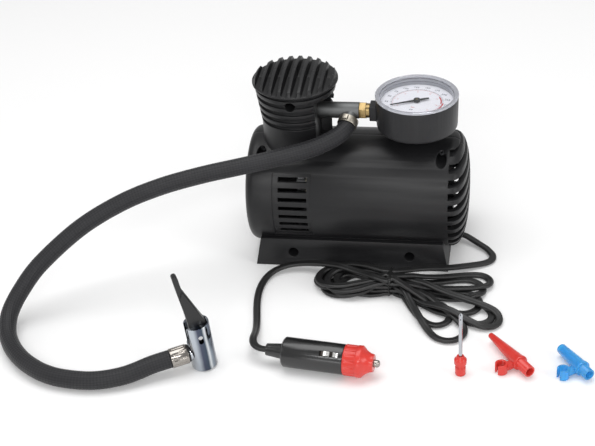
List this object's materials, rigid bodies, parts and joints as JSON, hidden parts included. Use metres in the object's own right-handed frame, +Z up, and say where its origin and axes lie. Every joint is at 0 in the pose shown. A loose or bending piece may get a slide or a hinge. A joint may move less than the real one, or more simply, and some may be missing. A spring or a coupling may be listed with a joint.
{
  "type": "portable tire inflator",
  "caption": "Portable air compressor: motor barrel, finned pump head, pressure gauge, hose with lever chuck, tied power cord with plug, and loose nozzle adapters.",
  "frame": {"origin": "on the floor under the middle of the base, on the parting plane of the housing halves", "axes": "+X along the motor barrel towards the grille, +Y towards the back, +Z up"},
  "size_m": [0.3929, 0.2304, 0.1364],
  "materials": {
    "housing": "fine-grained moulded nylon, dark grey",
    "screw_steel": "blackened steel",
    "cast_alloy": "die-cast, satin",
    "can_steel": "zinc-plated drawn steel",
    "bell_plastic": "moulded end bell",
    "magnet": "sintered ferrite",
    "carbon": "carbon brush",
    "shaft_steel": "ground steel",
    "lamination": "stacked laminations",
    "copper_wire": "enamelled copper winding",
    "copper_bar": "copper segments",
    "sintered_gear": "sintered pinion",
    "gear_nylon": "natural nylon gear",
    "piston_alloy": "turned",
    "piston_seal": "filled seal ring",
    "sleeve_alloy": "turned and honed",
    "valve_plate": "ground plate",
    "ball_rubber": "moulded ball",
    "spring_steel": "drawn wire",
    "manifold_metal": "satin plated tube",
    "nut_brass": "machined brass",
    "clip_metal": "zinc-plated band",
    "gauge_black": "semi-gloss black",
    "bezel_chrome": "polished ring",
    "lens_clear": "clear domed lens",
    "dial_white": "printed card",
    "needle_black": "matte black",
    "movement_brass": "stamped brass",
    "hose_black": "braided black cover",
    "chrome": "plated",
    "lever_black": "moulded lever",
    "seal_rubber": "soft ring",
    "cord_black": "satin flat cord",
    "tie_black": "twist tie",
    "plug_black": "moulded barrel",
    "plug_red": "bright moulded collar",
    "fuse_glass": "glass fuse",
    "contact_plated": "plated strip",
    "adapter_red": "bright red",
    "adapter_blue": "translucent blue plastic"
  },
  "bodies": {
    "body": {"housing_front": "housing", "housing_rear": "housing", "screws": "screw_steel", "pump_frame": "cast_alloy", "motor_can": "can_steel", "motor_end_bell": "bell_plastic", "motor_magnets": "magnet", "motor_brushes": "carbon", "cylinder": "sleeve_alloy", "valve_plate": "valve_plate", "valve_spring": "spring_steel", "cylinder_head": "cast_alloy", "outlet_manifold": "manifold_metal", "hose_clip": "clip_metal", "gauge_nut": "nut_brass", "gauge_case": "gauge_black", "gauge_bezel": "bezel_chrome", "gauge_lens": "lens_clear", "gauge_dial": "dial_white", "bourdon_tube": "movement_brass", "gauge_movement": "movement_brass", "air_hose": "hose_black", "chuck_ferrule": "chrome", "chuck_body": "chrome", "chuck_seal": "seal_rubber", "lever_pin": "shaft_steel", "cord_gland": "cord_black", "cord_lead": "cord_black", "cord_hank": "cord_black", "cord_tail": "cord_black", "cord_tie": "tie_black", "plug_barrel": "plug_black", "plug_collar": "plug_red", "plug_spring": "spring_steel"},
    "rotor": {"rotor_shaft": "shaft_steel", "armature_core": "lamination", "armature_windings": "copper_wire", "commutator": "copper_bar", "motor_pinion": "sintered_gear"},
    "crank": {"crankshaft": "shaft_steel", "crank_gear": "gear_nylon", "crank_pin": "shaft_steel"},
    "piston": {"piston": "piston_alloy", "piston_ring": "piston_seal", "wrist_pin": "shaft_steel"},
    "rod": {"connecting_rod": "piston_alloy"},
    "valve": {"valve_ball": "ball_rubber"},
    "sector": {"gauge_sector": "movement_brass"},
    "needle": {"gauge_needle": "needle_black", "gauge_spindle": "movement_brass"},
    "lever": {"chuck_lever": "lever_black"},
    "plunger": {"chuck_plunger": "nut_brass"},
    "tip": {"plug_tip": "contact_plated", "plug_fuse": "fuse_glass"},
    "contact_upper": {"plug_contact_upper": "contact_plated"},
    "contact_lower": {"plug_contact_lower": "contact_plated"},
    "needle_adapter": {"ball_needle": "chrome", "needle_base": "adapter_red"},
    "red_adapter": {"red_nozzle": "adapter_red"},
    "blue_adapter": {"blue_nozzle": "adapter_blue"}
  },
  "joints": [
    {"name": "rotor_spin", "type": "hinge", "parent": "body", "child": "rotor", "pos_m": [0, 0, 0.028], "axis": [1, 0, 0], "continuous": true},
    {"name": "crank_spin", "type": "hinge", "parent": "body", "child": "crank", "pos_m": [0, 0, 0.0513], "axis": [1, 0, 0], "continuous": true},
    {"name": "piston_slide", "type": "slide", "parent": "body", "child": "piston", "axis": [0, 0, 1], "range_m": [0, 0.014]},
    {"name": "rod_swing", "type": "hinge", "parent": "piston", "child": "rod", "pos_m": [-0.039, 0, 0.0763], "axis": [1, 0, 0], "range_deg": [-12.6, 12.6]},
    {"name": "valve_lift", "type": "slide", "parent": "body", "child": "valve", "axis": [0, 0, 1], "range_m": [0, 0.001], "stiffness_N_per_m": 120, "springref_m": -0.002, "deforming": ["valve_spring"]},
    {"name": "sector_turn", "type": "hinge", "parent": "body", "child": "sector", "pos_m": [0.0442, -0.01688, 0.102], "axis": [0, 0, 1], "range_deg": [0, 36.57], "stiffness_Nm_per_rad": 0.01, "springref_deg": -2.86},
    {"name": "needle_turn", "type": "hinge", "parent": "body", "child": "needle", "pos_m": [0.0442, 0, 0.1138], "axis": [0, 0, -1], "range_deg": [0, 256]},
    {"name": "lever_fold", "type": "hinge", "parent": "body", "child": "lever", "pos_m": [-0.0841, -0.15457, 0.02763], "axis": [0.454, -0.891, 0], "range_deg": [0, 70]},
    {"name": "plunger_slide", "type": "slide", "parent": "body", "child": "plunger", "axis": [0.0777, 0.0396, -0.9962], "range_m": [0, 0.0012]},
    {"name": "tip_press", "type": "slide", "parent": "body", "child": "tip", "axis": [-0.9925, 0.1219, 0], "range_m": [0, 0.0025], "stiffness_N_per_m": 900, "springref_m": -0.003, "deforming": ["plug_spring"]},
    {"name": "upper_contact_press", "type": "slide", "parent": "body", "child": "contact_upper", "axis": [0.0767, 0.6246, -0.7771], "range_m": [0, 0.0011], "stiffness_N_per_m": 700, "springref_m": -0.001},
    {"name": "lower_contact_press", "type": "slide", "parent": "body", "child": "contact_lower", "axis": [-0.0767, -0.6246, 0.7771], "range_m": [0, 0.0011], "stiffness_N_per_m": 700, "springref_m": -0.001},
    {"name": "needle_adapter_lift", "type": "slide", "parent": "body", "child": "needle_adapter", "axis": [0, 0, 1], "range_m": [0, 0.05]},
    {"name": "red_adapter_lift", "type": "slide", "parent": "body", "child": "red_adapter", "axis": [0, 0, 1], "range_m": [0, 0.05]},
    {"name": "blue_adapter_lift", "type": "slide", "parent": "body", "child": "blue_adapter", "axis": [0, 0, 1], "range_m": [0, 0.05]}
  ],
  "couplings": [
    {"joint": "crank_spin", "follows": "rotor_spin", "ratio": -0.26087},
    {"joint": "needle_turn", "follows": "sector_turn", "ratio": 7},
    {"joint": "plunger_slide", "follows": "lever_fold", "m_per_rad": 0.00098212}
  ]
}
